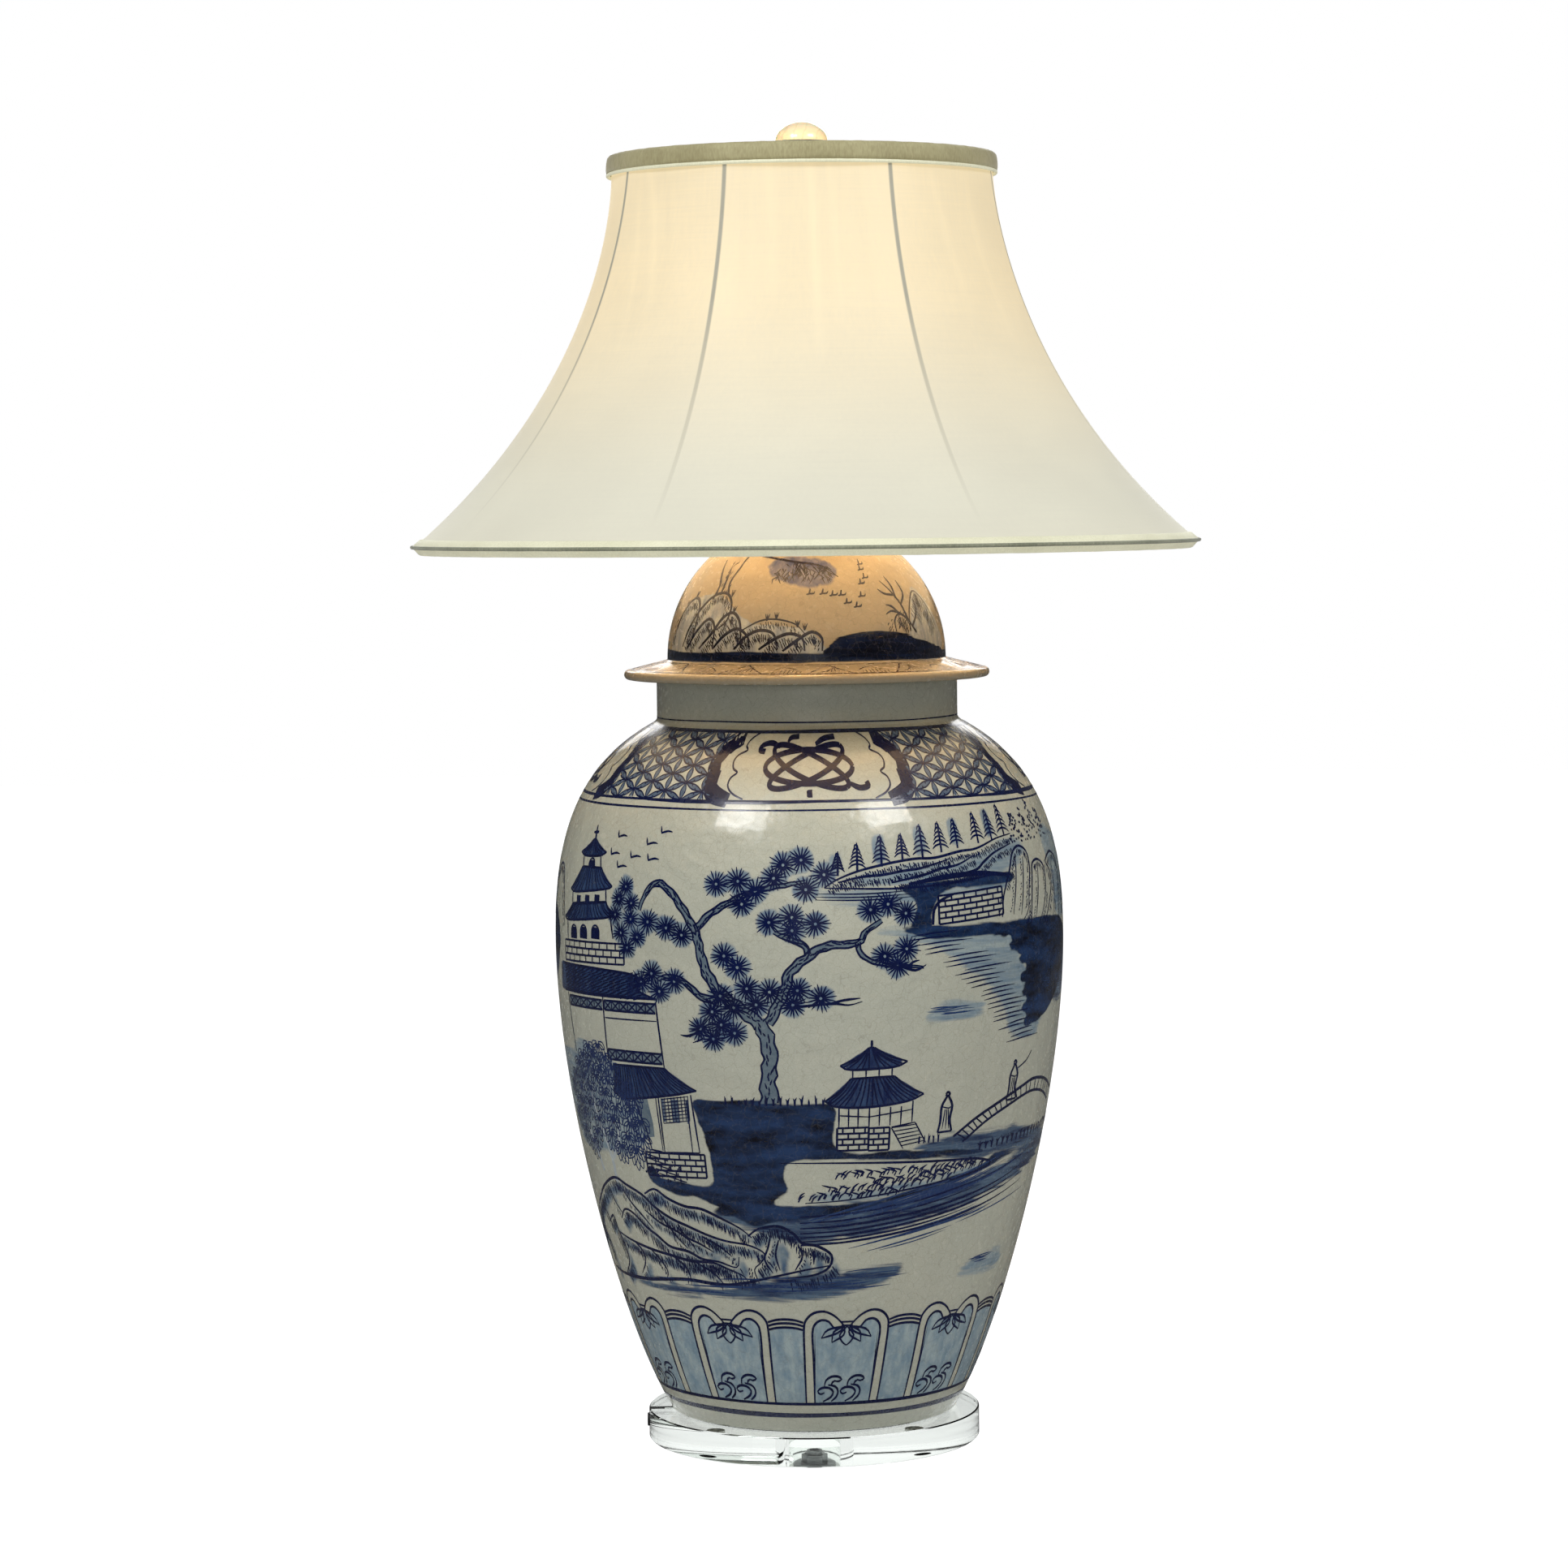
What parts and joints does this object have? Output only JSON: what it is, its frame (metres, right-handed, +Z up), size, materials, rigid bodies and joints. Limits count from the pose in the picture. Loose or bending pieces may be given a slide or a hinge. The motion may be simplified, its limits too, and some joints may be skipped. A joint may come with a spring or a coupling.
{
  "type": "table lamp",
  "caption": "Covered ginger jar lamp with blue and white painting, on a clear round plinth, under a bell shade with a turning finial.",
  "frame": {"origin": "on the table surface, under the middle of the lamp", "axes": "+Z up along the lamp pipe, -Y towards the viewer, the cord hole leaves along -X"},
  "size_m": [0.5095, 0.5096, 0.8549],
  "materials": {
    "clear_rubber": "clear soft bumper and gasket",
    "acrylic": "polished clear acrylic",
    "black_plastic": "moulded black",
    "zinc": "zinc plated",
    "blue_white_glaze": "crackled pale glaze over cobalt painting",
    "brass": "polished brass plate",
    "paper_sleeve": "fibre paper",
    "aluminium": "bright",
    "bulb_glass": "frosted white, lit warm",
    "frame_wire": "off-white coated wire",
    "cream_silk": "slubbed cream silk",
    "sage_binding": "folded silk binding",
    "pewter": "aged pewter",
    "alabaster": "polished alabaster"
  },
  "bodies": {
    "lamp_body": {"base_bumpers": "clear_rubber", "acrylic_base": "acrylic", "cord_bushing": "black_plastic", "base_washer": "zinc", "base_nut": "zinc", "foot_gasket": "clear_rubber", "lamp_pipe": "zinc", "jar_body": "blue_white_glaze", "lid": "blue_white_glaze", "vase_cap": "brass", "cap_locknut": "brass", "harp_saddle": "brass", "socket_cap": "brass", "socket_shell": "brass", "socket_sleeve": "paper_sleeve", "socket_block": "black_plastic", "terminal_screws": "brass", "screw_shell": "aluminium", "centre_contact": "brass"},
    "switch": {"switch_shaft": "brass", "switch_knob": "black_plastic"},
    "bulb": {"bulb_glass": "bulb_glass", "bulb_cap": "aluminium", "bulb_tip": "zinc"},
    "harp": {"harp_bow": "brass"},
    "ferrule_left": {"harp_ferrule_left": "brass"},
    "ferrule_right": {"harp_ferrule_right": "brass"},
    "swivel": {"harp_stud": "brass"},
    "shade": {"shade_spider": "brass", "shade_frame": "frame_wire", "shade_cover": "cream_silk", "shade_lining": "cream_silk", "shade_top_binding": "sage_binding", "shade_foot_binding": "sage_binding"},
    "finial": {"finial_foot": "pewter", "finial_ball": "alabaster"}
  },
  "joints": [
    {"name": "switch_turn", "type": "hinge", "parent": "lamp_body", "child": "switch", "pos_m": [0, -0.0168, 0.63032], "axis": [0, -1, 0], "continuous": true},
    {"name": "bulb_turn", "type": "hinge", "parent": "lamp_body", "child": "bulb", "pos_m": [0, 0, 0.66202], "axis": [0, 0, 1], "continuous": true},
    {"name": "harp_lift", "type": "slide", "parent": "lamp_body", "child": "harp", "axis": [0, 0, 1], "range_m": [0, 0.05]},
    {"name": "ferrule_left_slide", "type": "slide", "parent": "harp", "child": "ferrule_left", "axis": [0, 0, 1], "range_m": [0, 0.016]},
    {"name": "ferrule_right_slide", "type": "slide", "parent": "harp", "child": "ferrule_right", "axis": [0, 0, 1], "range_m": [0, 0.016]},
    {"name": "stud_turn", "type": "hinge", "parent": "harp", "child": "swivel", "pos_m": [0, 0, 0.81852], "axis": [0, 0, 1], "continuous": true},
    {"name": "shade_lift", "type": "slide", "parent": "swivel", "child": "shade", "axis": [0, 0, 1], "range_m": [0, 0.3]},
    {"name": "finial_turn", "type": "hinge", "parent": "shade", "child": "finial", "pos_m": [0, 0, 0.82332], "axis": [0, 0, 1], "continuous": true}
  ]
}
